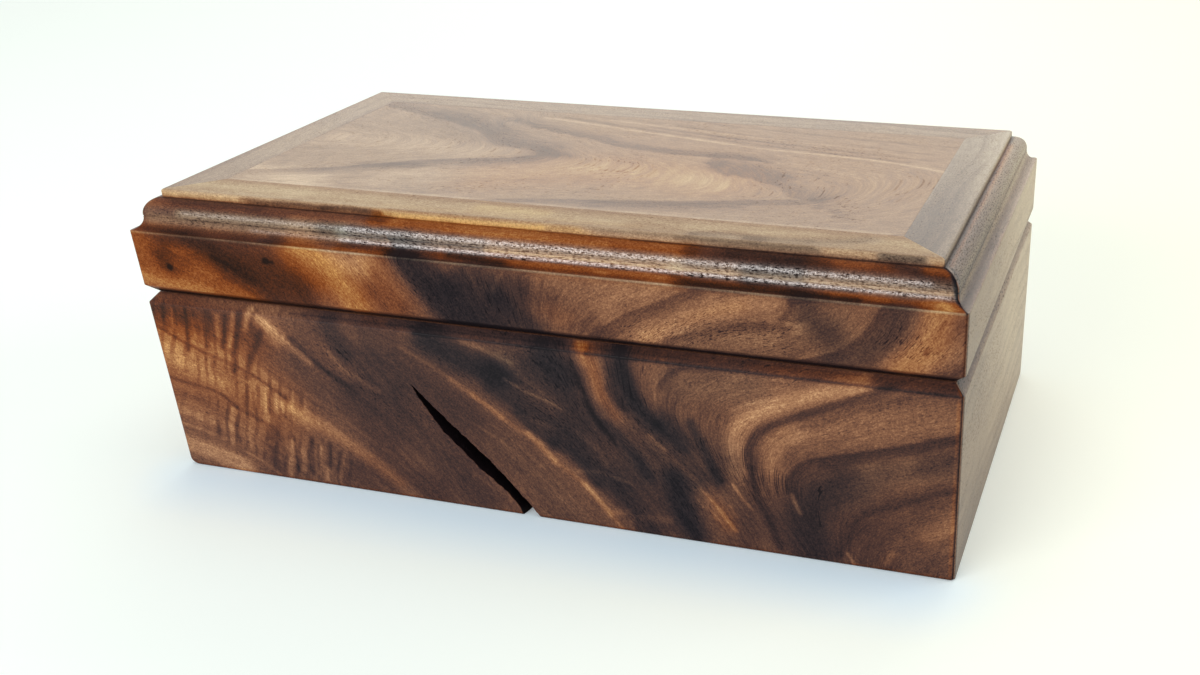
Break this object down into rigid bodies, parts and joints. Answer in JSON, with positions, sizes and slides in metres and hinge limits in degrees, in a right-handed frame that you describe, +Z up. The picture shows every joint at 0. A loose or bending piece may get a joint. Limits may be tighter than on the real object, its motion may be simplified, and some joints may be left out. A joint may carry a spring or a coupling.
{
  "type": "wooden keepsake box",
  "caption": "Low wooden box of thick mitred boards, with a hinged lid that has an ogee edge and a flush panel, and a planed V along the seam.",
  "frame": {"origin": "middle of the footprint, on the surface the box stands on", "axes": "+X along the box's length, to the right seen from the front; +Y from the front to the hinged back; +Z up"},
  "size_m": [0.3, 0.162, 0.1084],
  "materials": {
    "walnut_body": "oiled walnut with a low sheen, curly and dark-streaked figure",
    "walnut_lid": "oiled walnut with a low sheen, moulded edge a little glossier",
    "walnut_top_panel": "satin walnut, long grain",
    "walnut_bottom_panel": "sanded walnut",
    "brass_hinge": "satin brass",
    "brass_pin": "satin brass",
    "brass_screws": "satin brass"
  },
  "bodies": {
    "body": {"body_front_board": "walnut_body", "body_back_board": "walnut_body", "body_left_board": "walnut_body", "body_right_board": "walnut_body", "bottom_panel": "walnut_bottom_panel", "hinge_left_body_leaf": "brass_hinge", "hinge_left_pin": "brass_pin", "hinge_left_body_screws": "brass_screws", "hinge_right_body_leaf": "brass_hinge", "hinge_right_pin": "brass_pin", "hinge_right_body_screws": "brass_screws"},
    "lid": {"lid_front_board": "walnut_lid", "lid_back_board": "walnut_lid", "lid_left_board": "walnut_lid", "lid_right_board": "walnut_lid", "lid_top_panel": "walnut_top_panel", "hinge_left_lid_leaf": "brass_hinge", "hinge_left_lid_screws": "brass_screws", "hinge_right_lid_leaf": "brass_hinge", "hinge_right_lid_screws": "brass_screws"}
  },
  "joints": [
    {"name": "lid_hinge", "type": "hinge", "parent": "body", "child": "lid", "pos_m": [0, 0.0781, 0.0714], "axis": [-1, 0, 0], "range_deg": [0, 95]}
  ]
}
